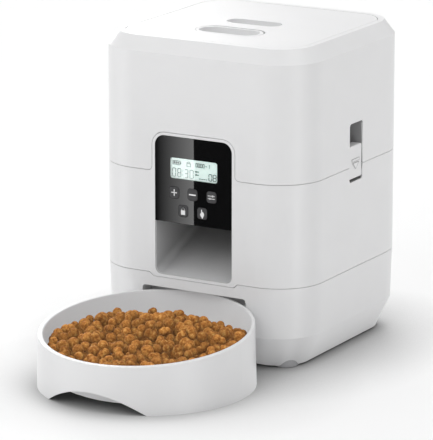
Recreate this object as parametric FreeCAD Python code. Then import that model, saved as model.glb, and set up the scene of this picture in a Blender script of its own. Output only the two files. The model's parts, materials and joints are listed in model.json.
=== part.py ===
import FreeCAD, Part
import math
import os

# Automatic pet feeder: a lift-off food tank on a dispensing housing, on a base, with a separate bowl.
# Millimetres, +Z up, the front faces -Y. The shapes are drawn about the housing's own vertical axis;
# each one is moved along Y when it is written, so that the origin is on the floor under the middle of
# the whole object, bowl included.

V = FreeCAD.Vector

# ---- overall size -------------------------------------------------------------------------------
WIDTH = 190.0
DEPTH = 190.0
TOP = 258.0
CORNER = 39.0
BASE_BOTTOM = 1.7
CHAMFER_TOP = 26.7
BASE_TOP = 67.9
HOUSING_BOTTOM = 68.3
HOUSING_TOP = 151.6
TANK_BOTTOM = 152.0
BEVEL_BOTTOM = 247.0
BEVEL_INSET = 8.7
CHAMFER_INSET = 12.9
BASE_DRAFT = 1.3
WALL = 2.6
HALF_W = WIDTH / 2
HALF_D = DEPTH / 2

# ---- lid ----------------------------------------------------------------------------------------
LID_HALF = 80.7
LID_CORNER = 25.0
LID_UNDER = 255.6
MOUTH_HALF = 76.2
MOUTH_CORNER = 20.5
SKIRT_HALF = 75.0
SKIRT_CORNER = 19.3
REAR_SLOT_Y = 3.1
REAR_LENGTH = 48.6
REAR_WIDTH = 17.8
FRONT_SLOT_Y = -37.6
FRONT_LENGTH = 52.8
FRONT_WIDTH = 21.2
RING_LENGTH = 58.2
RING_WIDTH = 26.8
PINCH_TRAVEL = 2.0

# ---- front panel and chute ----------------------------------------------------------------------
PANEL_HALF = 35.1
PANEL_TOP = 181.6
PANEL_BOTTOM = 111.4
PANEL_CORNER = 8.5
OPENING_BOTTOM = 67.6
OPENING_CORNER = 5.5
TAB_HALF = 37.6
TAB_TOP = 183.8
TAB_CORNER = 11.0
TAB_BACK = -79.2
TAB_FLARE = 4.0
SEAM = TANK_BOTTOM - HOUSING_TOP
DIP_BOTTOM = 65.3
LCD = (-20.7, 21.8, 147.8, 164.4)
KEY_WIDTH = 8.9
KEY_HEIGHT = 9.5
KEY_CENTRES = {
    "key_plus": (-17.2, 136.1),
    "key_minus": (-0.5, 136.1),
    "key_set": (16.7, 136.1),
    "key_lock": (-9.1, 121.9),
    "key_feed": (8.2, 121.9),
}
CHUTE_FRONT = -92.3
CHUTE_BACK = -8.0
CHUTE_SLOPE = math.tan(math.radians(25.0))
CHUTE_ROOF = 111.6
CHUTE_ROOF_BACK = -31.0
CHUTE_TOP = 115.4

# ---- dispensing rotor and drive -----------------------------------------------------------------
ROTOR_Y = 18.0
CHAMBER_R = 50.0
CHAMBER_FLOOR = 118.0
DECK_BOTTOM = 146.2
DECK_TOP = 148.6
VANE_COUNT = 6
SHAFT_R = 3.0
MODULE = 0.8
OUTPUT_TEETH = 48
IDLER_SMALL_TEETH = 12
IDLER_LARGE_TEETH = 40
MOTOR_TEETH = 10
IDLER_X = MODULE * (OUTPUT_TEETH + IDLER_SMALL_TEETH) / 2
MOTOR_Y = ROTOR_Y + MODULE * (IDLER_LARGE_TEETH + MOTOR_TEETH) / 2
LOW_GEARS = (98.0, 103.6)
HIGH_GEARS = (104.6, 109.6)

# ---- base ---------------------------------------------------------------------------------------
RECESS_HALF = 47.5
RECESS_TOP = 56.9
RECESS_BACK = -79.4
FOOT_R = 10.0
FOOT_X = 69.6
FOOT_Y = 67.9
BATTERY_HALF = 52.6
BATTERY_FRONT = -30.0
BATTERY_REAR = 36.0
BATTERY_TOP = 44.0
PLATE_BOTTOM = 4.0
PLATE_TOP = 6.2
HINGE_R = (PLATE_TOP - PLATE_BOTTOM) / 2
HINGE_PIN_R = 0.6
HINGE_Y = BATTERY_REAR + 1.6 - HINGE_R
HINGE_Z = PLATE_BOTTOM + HINGE_R

# ---- side latches -------------------------------------------------------------------------------
LATCH_SLOT = (-11.0, 11.0, 139.3, 187.2)
LATCH_SLIDER = (-10.6, 10.6, 141.6, 168.4)
POCKET_DEPTH = 80.6

# ---- bowl ---------------------------------------------------------------------------------------
BOWL_Y = -167.0
BOWL_BOTTOM_R = 85.8
BOWL_RIM_R = 84.7
BOWL_INNER_R = 81.3
BOWL_RIM_Z = 45.7
BOWL_SLOPE = 0.1
BOWL_DISC_R = 66.2
BOWL_DISC_Z = 3.4

BOWL_LEAN = (BOWL_BOTTOM_R - BOWL_RIM_R) / BOWL_RIM_Z
ARCH_HALF = 44.0
ARCH_HEIGHT = 15.0

# The arch takes away the skirt's widest point, so the bowl's front is at the top of the arch.
BOWL_FRONT = BOWL_Y - BOWL_BOTTOM_R + BOWL_LEAN * ARCH_HEIGHT
SHIFT_Y = -(BOWL_FRONT + HALF_D) / 2


# ---- drawing helpers ----------------------------------------------------------------------------
def box(x0, x1, y0, y1, z0, z1):
    return Part.makeBox(x1 - x0, y1 - y0, z1 - z0, V(x0, y0, z0))


def cylinder(radius, z0, z1, x=0.0, y=0.0):
    return Part.makeCylinder(radius, z1 - z0, V(x, y, z0))


def rod_x(radius, x0, x1, y, z):
    """A round rod that lies across, from x0 to x1."""
    return Part.makeCylinder(radius, x1 - x0, V(x0, y, z), V(1, 0, 0))


def outline(x0, x1, y0, y1, r, z):
    """A level rectangle with rounded corners, as one closed wire."""
    k = r * (1.0 - math.sqrt(0.5))
    corners = [
        ((x1, y1 - r), (x1 - k, y1 - k), (x1 - r, y1)),
        ((x0 + r, y1), (x0 + k, y1 - k), (x0, y1 - r)),
        ((x0, y0 + r), (x0 + k, y0 + k), (x0 + r, y0)),
        ((x1 - r, y0), (x1 - k, y0 + k), (x1, y0 + r)),
    ]
    edges = []
    for index, (start, middle, end) in enumerate(corners):
        edges.append(Part.Arc(V(*start, z), V(*middle, z), V(*end, z)).toShape())
        following = corners[(index + 1) % 4][0]
        if math.dist(end, following) > 1e-6:
            edges.append(Part.LineSegment(V(*end, z), V(*following, z)).toShape())
    return Part.Wire(edges)


def plate(x0, x1, y0, y1, r, z0, z1):
    """A level plate with rounded corners."""
    return Part.Face(outline(x0, x1, y0, y1, r, z0)).extrude(V(0, 0, z1 - z0))


def square_plate(half, r, z0, z1):
    return plate(-half, half, -half, half, r, z0, z1)


def front_plate(x0, x1, z0, z1, r, y0, y1):
    """A plate with rounded corners that stands across the front, from y0 to y1."""
    flat = plate(x0, x1, z0, z1, r, -y1, -y0)
    return flat.rotate(V(0, 0, 0), V(1, 0, 0), 90)


def side_plate(y0, y1, z0, z1, r, x0, x1):
    """A plate with rounded corners that stands across a side, from x0 to x1."""
    flat = plate(y0, y1, z0, z1, r, x0, x1)
    return flat.rotate(V(0, 0, 0), V(1, 1, 1), 120)


def prism(points, direction):
    """A flat polygon pushed along a vector."""
    corners = [V(*point) for point in points]
    return Part.Face(Part.makePolygon(corners + corners[:1])).extrude(V(*direction))


def revolved(profile, x=0.0, y=0.0):
    """A closed (radius, z) profile turned about a vertical axis."""
    corners = [V(radius, 0, z) for radius, z in profile]
    face = Part.Face(Part.makePolygon(corners + corners[:1]))
    return face.revolve(V(0, 0, 0), V(0, 0, 1), 360).translate(V(x, y, 0))


def both_sides(shape):
    return [shape, shape.mirror(V(0, 0, 0), V(1, 0, 0))]


def fused(shapes):
    return shapes[0].multiFuse(shapes[1:]).removeSplitter()


def cut_all(shape, tools):
    for tool in tools:
        shape = shape.cut(tool)
    return shape


def stadium(length, width, y, z0, z1):
    half_l = length / 2
    half_w = width / 2
    return plate(-half_l, half_l, y - half_w, y + half_w, half_w - 0.001, z0, z1)


def coil(radius, wire, height, turns, centre, direction):
    """A helical spring that starts at the centre point and runs along a direction."""
    path = Part.makeHelix(height / turns, height, radius)
    circle = Part.Circle(V(radius, 0, 0), V(0, 1, 0), wire).toShape()
    spring = Part.Wire(path.Edges).makePipeShell([Part.Wire(circle)], True, True)
    spring.Placement = FreeCAD.Placement(
        V(*centre), FreeCAD.Rotation(V(0, 0, 1), V(*direction))
    )
    return spring


def screw(x, y, head_z, length, head_r=2.8, shank_r=1.3, up=1.0):
    """A pan-head screw; its shank runs from the head along Z, upwards or downwards."""
    head = Part.makeCylinder(head_r, 1.8, V(x, y, head_z), V(0, 0, -up))
    shank = Part.makeCylinder(shank_r, length + 0.1, V(x, y, head_z - 0.1 * up), V(0, 0, up))
    face = head_z - 1.8 * up
    low, high = sorted((face - 0.1 * up, face + 0.9 * up))
    slot_a = box(x - 1.7, x + 1.7, y - 0.35, y + 0.35, low, high)
    slot_b = box(x - 0.35, x + 0.35, y - 1.7, y + 1.7, low, high)
    return cut_all(fused([head, shank]), [slot_a, slot_b])


def tooth_outline(teeth, x, y, z, phase, backlash=0.07):
    """Closed involute outline of a spur gear, tooth centre at the phase angle."""
    pitch_r = MODULE * teeth / 2
    pressure = math.radians(25.0)
    base_r = pitch_r * math.cos(pressure)
    tip_r = pitch_r + 0.85 * MODULE
    root_r = pitch_r - 1.1 * MODULE
    half_tooth = math.pi / (2 * teeth) - backlash / pitch_r
    involute_pitch = math.tan(pressure) - pressure
    flank = []
    start_r = max(base_r, root_r + 0.05)
    for step in range(6):
        r = start_r + (tip_r - start_r) * step / 5
        roll = math.acos(min(1.0, base_r / r))
        flank.append((r, half_tooth + involute_pitch - (math.tan(roll) - roll)))
    points = []
    for number in range(teeth):
        centre = phase + 2 * math.pi * number / teeth
        side = [(root_r, flank[0][1])] + flank
        around = [(r, centre - a) for r, a in side] + [(r, centre + a) for r, a in reversed(side)]
        points += [V(x + r * math.cos(a), y + r * math.sin(a), z) for r, a in around]
    return Part.makePolygon(points + points[:1])


def gear(teeth, x, y, z0, z1, phase_degrees=0.0):
    wire = tooth_outline(teeth, x, y, z0, math.radians(phase_degrees))
    return Part.Face(wire).extrude(V(0, 0, z1 - z0))


# ---- the housing's common outer form ------------------------------------------------------------
PROFILE = (
    (BASE_BOTTOM, CHAMFER_INSET),
    (CHAMFER_TOP, BASE_DRAFT),
    (BASE_TOP, 0.0),
    (BEVEL_BOTTOM, 0.0),
    (TOP, BEVEL_INSET),
)


def inset_at(z):
    """How far the outer wall stands inside the full footprint at a height."""
    for (low, a), (high, b) in zip(PROFILE, PROFILE[1:]):
        if z <= high:
            return a + (b - a) * (z - low) / (high - low)
    return PROFILE[-1][1]


def body_block(z0, z1, inward=0.0):
    """The outer form between two heights, moved inwards by a wall thickness."""
    levels = [z0] + [z for z, _ in PROFILE if z0 + 0.01 < z < z1 - 0.01] + [z1]
    wires = []
    for z in levels:
        inset = inset_at(z) + inward
        x = HALF_W - inset
        y = HALF_D - inset
        wires.append(outline(-x, x, -y, y, CORNER - inset, z))
    return Part.makeLoft(wires, True, True)


def tab_form(grow, bottom, y0, y1):
    """The raised front tab with its flared foot, grown all round by a gap."""
    half = TAB_HALF + grow
    seam = HOUSING_TOP + grow
    body = front_plate(-half, half, bottom, TAB_TOP + grow, TAB_CORNER + grow, y0, y1)
    body = fused([body, box(-half, half, y0, y1, bottom, bottom + 20.0)])
    corner_x = TAB_HALF + TAB_FLARE
    corner_z = HOUSING_TOP + TAB_FLARE
    web = box(half - 0.5, corner_x, y0, y1, seam - 0.5, corner_z)
    hollow = Part.makeCylinder(TAB_FLARE - grow, y1 - y0, V(corner_x, y0, corner_z), V(0, 1, 0))
    flare = web.cut(hollow)
    return fused([body] + both_sides(flare))


def dip_form(grow, y0, y1):
    """The lip under the chute mouth that drops into the base's front edge."""
    low = DIP_BOTTOM - grow
    inner = TAB_HALF - 1.0 + grow
    outer = TAB_HALF + 3.0 + grow
    points = [
        (-outer, y0, HOUSING_BOTTOM + 0.5),
        (-inner, y0, low),
        (inner, y0, low),
        (outer, y0, HOUSING_BOTTOM + 0.5),
    ]
    return prism(points, (0, y1 - y0, 0))


def front_opening(y0, y1):
    """The tall opening that holds the control panel and, below it, the chute mouth."""
    upper = front_plate(-PANEL_HALF, PANEL_HALF, 90.0, PANEL_TOP, PANEL_CORNER, y0, y1)
    lower = front_plate(-PANEL_HALF, PANEL_HALF, OPENING_BOTTOM, 130.0, OPENING_CORNER, y0, y1)
    return fused([upper, lower, box(-PANEL_HALF, PANEL_HALF, y0, y1, 80.0, 140.0)])


def latch_slot(x0, x1):
    y0, y1, z0, z1 = LATCH_SLOT
    return side_plate(y0, y1, z0, z1, 2.5, x0, x1)


# ---- lid ----------------------------------------------------------------------------------------
def make_lid():
    top = square_plate(LID_HALF, LID_CORNER, LID_UNDER, TOP)
    top = top.makeChamfer(0.35, [e for e in top.Edges if e.BoundBox.ZMin > TOP - 0.01])
    skirt = square_plate(SKIRT_HALF, SKIRT_CORNER, 243.2, LID_UNDER + 0.2)
    skirt = skirt.cut(square_plate(SKIRT_HALF - 2.0, SKIRT_CORNER - 2.0, 243.0, LID_UNDER))
    cup = stadium(REAR_LENGTH + 3.6, REAR_WIDTH + 3.6, REAR_SLOT_Y, 246.4, LID_UNDER + 0.2)
    posts = [cylinder(3.4, 243.2, LID_UNDER + 0.2, x, y) for x in (-60, 60) for y in (-60, 60)]
    rib = box(-9.0, 9.0, FRONT_SLOT_Y + 23.8, FRONT_SLOT_Y + 25.8, 247.0, LID_UNDER + 0.2)
    lid = fused([top, skirt, cup, rib] + posts)
    finger = stadium(REAR_LENGTH, REAR_WIDTH, REAR_SLOT_Y, 248.2, TOP + 1)
    half_l = RING_LENGTH / 2 + 0.5
    half_w = RING_WIDTH / 2 + 0.5
    hole = plate(-half_l, half_l, FRONT_SLOT_Y - half_w, FRONT_SLOT_Y + half_w + PINCH_TRAVEL,
                 half_w, LID_UNDER - 1, TOP + 1)
    bolt_way = box(-12.6, 12.6, -80.0, -70.0, 249.6, 253.4)
    screws = [cylinder(1.4, 243.0, 252.0, x, y) for x in (-60, 60) for y in (-60, 60)]
    return cut_all(lid, [finger, hole, bolt_way] + screws)


def make_lid_liner():
    liner = square_plate(SKIRT_HALF - 0.2, SKIRT_CORNER - 0.2, 241.0, 243.0)
    holes = [cylinder(1.5, 240.0, 244.0, x, y) for x in (-60, 60) for y in (-60, 60)]
    return cut_all(liner, holes)


def make_lid_screws():
    return Part.makeCompound([screw(x, y, 240.9, 9.0) for x in (-60, 60) for y in (-60, 60)])


def make_lid_seal():
    ring = square_plate(MOUTH_HALF - 0.35, MOUTH_CORNER - 0.35, 244.6, 247.4)
    return ring.cut(square_plate(SKIRT_HALF + 0.02, SKIRT_CORNER, 244.0, 248.0))


def make_lid_button():
    ring = stadium(RING_LENGTH, RING_WIDTH, FRONT_SLOT_Y, LID_UNDER + 0.2, TOP)
    cup = stadium(FRONT_LENGTH + 3.6, FRONT_WIDTH + 3.6, FRONT_SLOT_Y, 246.4, LID_UNDER + 0.5)
    bolt = box(-12.0, 12.0, -MOUTH_HALF + 0.5, FRONT_SLOT_Y - FRONT_WIDTH / 2, 250.0, 253.0)
    peg = Part.makeCylinder(1.6, 5.0, V(0, FRONT_SLOT_Y + FRONT_WIDTH / 2 + 1.5, 251.0), V(0, 1, 0))
    button = fused([ring, cup, bolt, peg])
    return button.cut(stadium(FRONT_LENGTH, FRONT_WIDTH, FRONT_SLOT_Y, 248.2, TOP + 1))


def make_lid_spring():
    start = FRONT_SLOT_Y + FRONT_WIDTH / 2 + 2.3
    return coil(2.4, 0.35, 10.2, 5, (0, start, 251.0), (0, 1, 0))


# ---- tank ---------------------------------------------------------------------------------------
def make_tank_shell():
    shell = body_block(TANK_BOTTOM, TOP).cut(body_block(TANK_BOTTOM - 1.0, 253.0, WALL))
    pocket = box(POCKET_DEPTH - 2.4, 93.0, -13.4, 13.4, TANK_BOTTOM, 189.6)
    shell = fused([shell] + both_sides(pocket))
    seat = square_plate(LID_HALF + 0.55, LID_CORNER + 0.5, 255.4, TOP + 1)
    mouth = square_plate(MOUTH_HALF, MOUTH_CORNER, 250.0, TOP + 1)
    tab_gap = tab_form(SEAM, 120.0, -HALF_D - 1, -78.0)
    pocket_void = box(POCKET_DEPTH, 93.5, -11.0, 11.0, TANK_BOTTOM - 1, 187.2)
    slots = both_sides(fused([latch_slot(90.0, 97.0), pocket_void]))
    return cut_all(shell, [seat, mouth, tab_gap] + slots)


def hopper_form(inward, z_pad):
    low = 46.8 - inward
    high = HALF_W - WALL - 0.3 - inward
    r_high = CORNER - WALL - 0.3 - inward
    levels = [
        (149.2 - z_pad, low, ROTOR_Y, low - 0.1),
        (152.4, low, ROTOR_Y, low - 0.1),
        (214.0, high, 0.0, r_high),
        (217.0 + z_pad, high, 0.0, r_high),
    ]
    wires = [outline(-h, h, y - h, y + h, r, z) for z, h, y, r in levels]
    return Part.makeLoft(wires, True, True)


def make_tank_hopper():
    return hopper_form(0.0, 0.0).cut(hopper_form(2.2, 0.5))


# ---- dispensing housing -------------------------------------------------------------------------
def housing_boss(x, y):
    post = cylinder(4.0, 122.0, DECK_BOTTOM - 0.1, x, y)
    rib = box(min(x, math.copysign(95, x)), max(x, math.copysign(95, x)), y - 1, y + 1, 122.0, 145.0)
    return fused([post, rib.common(body_block(121.0, 146.0, 1.0))])


DECK_SCREWS = [(x, y) for x in (-80.0, 80.0) for y in (-52.0, 56.0)]


def make_middle_housing():
    shell = body_block(HOUSING_BOTTOM, HOUSING_TOP).cut(body_block(66.0, 153.0, WALL))
    tab = tab_form(0.0, 115.6, -HALF_D, TAB_BACK)
    dip = dip_form(0.0, -HALF_D, -HALF_D + WALL)
    pocket = box(POCKET_DEPTH - 2.4, 93.0, -13.4, 13.4, 136.9, HOUSING_TOP)
    guide = box(83.4, 86.2, -10.6, 10.6, 136.9, 164.0)
    shell = fused([shell, tab, dip] + both_sides(pocket))
    pocket_void = box(POCKET_DEPTH, 93.5, -11.0, 11.0, 139.3, HOUSING_TOP + 1)
    voids = both_sides(fused([latch_slot(90.0, 97.0), pocket_void]))
    shell = cut_all(shell, [front_opening(-96.0, TAB_BACK - 1.6)] + voids)
    bosses = [housing_boss(x, y) for x, y in DECK_SCREWS]
    shell = fused([shell] + both_sides(guide) + bosses)
    pilot = [cylinder(1.4, 126.0, 147.0, x, y) for x, y in DECK_SCREWS]
    return cut_all(shell, pilot)


def sector(r0, r1, half_angle, z0, z1):
    """Part of a ring about the rotor's axis, centred on the front."""
    ring = cylinder(r1, z0, z1, 0, ROTOR_Y).cut(cylinder(r0, z0 - 1, z1 + 1, 0, ROTOR_Y))
    reach = 90.0
    x = reach * math.tan(math.radians(half_angle))
    wedge = prism([(0, ROTOR_Y, z0 - 1), (-x, ROTOR_Y - reach, z0 - 1), (x, ROTOR_Y - reach, z0 - 1)],
                  (0, 0, z1 - z0 + 2))
    return ring.common(wedge)


def make_rotor_housing():
    deck = body_block(DECK_BOTTOM, DECK_TOP, 2.9)
    lip = body_block(DECK_BOTTOM, 155.6, 3.1).cut(body_block(DECK_BOTTOM - 1, 157.0, 4.9))
    front = box(-100, 100, -100, TAB_BACK + 0.4, 140.0, 160.0)
    sides = both_sides(box(POCKET_DEPTH - 3.0, 100, -14.4, 14.4, 140.0, 160.0))
    deck = cut_all(deck.fuse(lip), [front] + sides)
    chamber = cylinder(CHAMBER_R + 2.4, CHAMBER_FLOOR - 2.4, DECK_TOP, 0, ROTOR_Y)
    void = cylinder(CHAMBER_R, CHAMBER_FLOOR, 160.0, 0, ROTOR_Y)
    baffle = sector(12.6, CHAMBER_R + 1.0, 44.0, 144.2, DECK_BOTTOM)
    housing = fused([fused([deck, chamber]).cut(void), baffle])
    outlet = sector(26.0, 48.0, 37.0, CHAMBER_FLOOR - 4.0, CHAMBER_FLOOR + 1.0)
    bush = cylinder(6.0, 110.0, 125.0, 0, ROTOR_Y)
    holes = [cylinder(1.6, 140.0, 150.0, x, y) for x, y in DECK_SCREWS]
    return cut_all(housing, [outlet, bush] + holes)


def make_deck_screws():
    return Part.makeCompound([screw(x, y, DECK_TOP + 0.02, 14.0, up=-1.0) for x, y in DECK_SCREWS])


def make_shaft_bush():
    sleeve = cylinder(5.95, 114.8, 118.4, 0, ROTOR_Y)
    return sleeve.cut(cylinder(SHAFT_R + 0.04, 113.0, 120.0, 0, ROTOR_Y))


def chute_form(outward, front):
    """The sloping channel: level roof, ramp, upright back, sides that draw in towards the back."""
    t = outward
    ramp_front = OPENING_BOTTOM - t + (front - CHUTE_FRONT) * CHUTE_SLOPE
    back = CHUTE_BACK + t
    ramp_back = OPENING_BOTTOM - t + (back - CHUTE_FRONT) * CHUTE_SLOPE
    top = CHUTE_TOP + (0.0 if t else 1.0)
    side_view = [
        (-60, front, ramp_front),
        (-60, back, ramp_back),
        (-60, back, top),
        (-60, CHUTE_ROOF_BACK - t, top),
        (-60, CHUTE_ROOF_BACK - t, CHUTE_ROOF + t),
        (-60, front, CHUTE_ROOF + t),
    ]
    wide = PANEL_HALF + t
    narrow = 30.5 + t
    plan = [(-wide, front, 50), (wide, front, 50), (narrow, back, 50), (-narrow, back, 50)]
    channel = prism(side_view, (120, 0, 0)).common(prism(plan, (0, 0, 90)))
    rounded = [edge for edge in channel.Edges if is_ramp_edge(edge, t)]
    return channel.makeFillet(OPENING_CORNER + t - 0.2, rounded)


def is_ramp_edge(edge, t):
    """True for the two edges where the ramp meets the side walls."""
    if len(edge.Vertexes) != 2:
        return False
    a, b = [vertex.Point for vertex in edge.Vertexes]
    low_side = min(a.z, b.z) < OPENING_BOTTOM + 2.0
    return low_side and abs(a.y - b.y) > 20.0


def make_chute():
    inner = chute_form(0.0, CHUTE_FRONT - 0.5)
    outer = chute_form(2.0, CHUTE_FRONT)
    return outer.cut(inner)


def make_rotor():
    hub = cylinder(11.0, 118.6, 147.6, 0, ROTOR_Y)
    parts = [hub]
    for number in range(VANE_COUNT):
        vane = box(9.0, 47.4, ROTOR_Y - 1.1, ROTOR_Y + 1.1, 119.0, 143.4)
        parts.append(vane.rotate(V(0, ROTOR_Y, 0), V(0, 0, 1), 360 * number / VANE_COUNT))
    return fused(parts).cut(cylinder(SHAFT_R, 110.0, 150.0, 0, ROTOR_Y))


def make_rotor_wipers():
    strips = []
    for number in range(VANE_COUNT):
        strip = box(47.42, 49.6, ROTOR_Y - 0.7, ROTOR_Y + 0.7, 119.0, 143.0)
        strips.append(strip.rotate(V(0, ROTOR_Y, 0), V(0, 0, 1), 360 * number / VANE_COUNT))
    return Part.makeCompound(strips)


def make_stirrer():
    cone = Part.makeCone(11.0, 5.0, 8.0, V(0, ROTOR_Y, 147.7))
    arms = []
    for angle in (75.0, 255.0):
        arm = box(0, 30.0, ROTOR_Y - 2.0, ROTOR_Y + 2.0, 149.6, 153.6)
        finger = box(26.0, 30.0, ROTOR_Y - 2.0, ROTOR_Y + 2.0, 149.6, 160.0)
        arms.append(fused([arm, finger]).rotate(V(0, ROTOR_Y, 0), V(0, 0, 1), angle))
    return fused([cone] + arms).cut(cylinder(SHAFT_R, 140.0, 152.0, 0, ROTOR_Y))


def make_output_shaft():
    return cylinder(SHAFT_R - 0.02, 92.6, 151.9, 0, ROTOR_Y)


def make_output_gear():
    wheel = gear(OUTPUT_TEETH, 0, ROTOR_Y, *LOW_GEARS)
    hub = cylinder(6.0, LOW_GEARS[0] - 2.0, LOW_GEARS[1] + 3.0, 0, ROTOR_Y)
    return fused([wheel, hub]).cut(cylinder(SHAFT_R, 90.0, 115.0, 0, ROTOR_Y))


def make_idler_gear():
    small = gear(IDLER_SMALL_TEETH, IDLER_X, ROTOR_Y, LOW_GEARS[0], LOW_GEARS[1] + 0.5, 15.0)
    large = gear(IDLER_LARGE_TEETH, IDLER_X, ROTOR_Y, *HIGH_GEARS)
    neck = cylinder(3.0, LOW_GEARS[0] - 1.5, HIGH_GEARS[1] + 1.0, IDLER_X, ROTOR_Y)
    return fused([small, large, neck]).cut(cylinder(1.55, 90.0, 115.0, IDLER_X, ROTOR_Y))


def make_idler_pin():
    return cylinder(1.5, 92.5, 112.8, IDLER_X, ROTOR_Y)


def make_motor_pinion():
    pinion = gear(MOTOR_TEETH, IDLER_X, MOTOR_Y, *HIGH_GEARS)
    return fused([pinion, cylinder(1.5, 84.0, HIGH_GEARS[1], IDLER_X, MOTOR_Y)])


GEARBOX = (-23.0, 43.4, -3.6, 46.0)
GEARBOX_SCREWS = [(-19.0, 42.0), (4.0, 42.5), (39.6, -0.2)]


def make_gearbox_case():
    x0, x1, y0, y1 = GEARBOX
    case = plate(x0, x1, y0, y1, 3.0, 94.0, 114.6)
    case = case.cut(plate(x0 + 1.6, x1 - 1.6, y0 + 1.0, y1 - 1.6, 1.5, 93.0, 112.8))
    bosses = [cylinder(3.0, 94.0, 113.0, x, y) for x, y in GEARBOX_SCREWS]
    case = fused([case] + bosses)
    holes = [cylinder(1.35, 93.0, 106.0, x, y) for x, y in GEARBOX_SCREWS]
    return cut_all(case, holes + [cylinder(7.0, 111.0, 116.0, 0, ROTOR_Y)])


def make_gearbox_cover():
    x0, x1, y0, y1 = GEARBOX
    cover = plate(x0, x1, y0, y1, 3.0, 92.0, 93.9)
    holes = [cylinder(1.5, 90.0, 95.0, x, y) for x, y in GEARBOX_SCREWS]
    shaft = cylinder(SHAFT_R + 0.04, 90.0, 95.0, 0, ROTOR_Y)
    pin = cylinder(1.5, 90.0, 95.0, IDLER_X, ROTOR_Y)
    neck = cylinder(3.2, 90.0, 95.0, IDLER_X, MOTOR_Y)
    return cut_all(cover, holes + [shaft, pin, neck])


def make_gearbox_screws():
    return Part.makeCompound([screw(x, y, 91.98, 12.0, shank_r=1.25) for x, y in GEARBOX_SCREWS])


def make_motor():
    can = cylinder(13.8, 60.0, 91.0, IDLER_X, MOTOR_Y)
    neck = cylinder(3.0, 90.5, 93.0, IDLER_X, MOTOR_Y)
    tail = cylinder(4.0, 58.4, 60.5, IDLER_X, MOTOR_Y)
    return fused([can, neck, tail]).cut(cylinder(1.55, 83.0, 95.0, IDLER_X, MOTOR_Y))


# ---- control panel ------------------------------------------------------------------------------
def make_panel_fascia():
    gap = 0.1
    upper = front_plate(-PANEL_HALF + gap, PANEL_HALF - gap, 120.0, PANEL_TOP - gap,
                        PANEL_CORNER - gap, -HALF_D, -92.6)
    lower = box(-PANEL_HALF + gap, PANEL_HALF - gap, -HALF_D, -92.6, PANEL_BOTTOM, 160.0)
    fascia = fused([upper, lower])
    x0, x1, z0, z1 = LCD
    holes = [front_plate(x0, x1, z0, z1, 2.0, -96, -92)]
    for x, z in KEY_CENTRES.values():
        w = KEY_WIDTH / 2 + 0.2
        h = KEY_HEIGHT / 2 + 0.2
        holes.append(front_plate(x - w, x + w, z - h, z + h, 2.7, -96, -92))
    return cut_all(fascia, holes)


def make_lcd_lens():
    x0, x1, z0, z1 = LCD
    return front_plate(x0 + 0.02, x1 - 0.02, z0 + 0.02, z1 - 0.02, 2.0, -94.95, -94.15)


def make_lcd_module():
    x0, x1, z0, z1 = LCD
    glass = front_plate(x0 + 0.05, x1 - 0.05, z0 + 0.05, z1 - 0.05, 1.9, -93.7, -92.5)
    tray = box(x0 - 1.5, x1 + 1.5, -92.55, -88.5, z0 - 1.5, z1 + 1.5)
    return fused([glass, tray])


def make_key(name):
    x, z = KEY_CENTRES[name]
    w = KEY_WIDTH / 2
    h = KEY_HEIGHT / 2
    cap = front_plate(x - w, x + w, z - h, z + h, 2.5, -95.35, -91.6)
    face = [e for e in cap.Edges if e.BoundBox.YMax < -95.3]
    cap = cap.makeFillet(0.5, face)
    flange = front_plate(x - w - 0.7, x + w + 0.7, z - h - 0.7, z + h + 0.7, 2.8, -91.6, -90.6)
    return fused([cap, flange])


def make_key_switches():
    switches = []
    for x, z in KEY_CENTRES.values():
        body = box(x - 3, x + 3, -88.6, -86.4, z - 3, z + 3)
        switches.append(fused([body, Part.makeCylinder(1.6, 1.2, V(x, -89.6, z), V(0, 1, 0))]))
    return Part.makeCompound(switches)


def make_control_board():
    board = front_plate(-33.0, 33.0, 114.0, 178.0, 2.0, -86.4, -84.8)
    chip = box(-8, 8, -84.9, -83.4, 160, 172)
    return fused([board, chip])


# ---- side latches -------------------------------------------------------------------------------
def make_latch():
    y0, y1, z0, z1 = LATCH_SLIDER
    slider = side_plate(y0, y1, z0, z1, 1.6, 86.6, 94.4)
    front = [e for e in slider.Edges if e.BoundBox.XMin > 94.3]
    slider = slider.makeFillet(0.6, front)
    slider = slider.cut(box(86.0, 91.6, y0 + 2.4, y1 - 2.4, z0 - 1, z1 - 8.0))
    bar = box(94.2, 94.9, -6.2, 6.2, 155.6, 157.5)
    head = prism([(94.2, -4.9, 154.2), (94.2, 4.9, 154.2), (94.2, 0.0, 149.2)], (0.7, 0, 0))
    return fused([slider, bar, head])


def make_latch_spring():
    return coil(1.8, 0.35, 19.9, 8, (89.0, 0.0, 139.9), (0, 0, 1))


# ---- base ---------------------------------------------------------------------------------------
BASE_SCREWS = [(x, y) for x in (-74.0, 74.0) for y in (-36.0, 40.0)]
FEET = [(x, y) for x in (-FOOT_X, FOOT_X) for y in (-FOOT_Y, FOOT_Y)]


def base_boss(x, y):
    post = cylinder(4.0, PLATE_TOP + 0.1, 26.0, x, y)
    rib = box(min(x, math.copysign(95, x)), max(x, math.copysign(95, x)), y - 1, y + 1,
              PLATE_TOP + 0.1, 26.0)
    return fused([post, rib]).common(body_block(BASE_BOTTOM, 60.0, 1.0))


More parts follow.
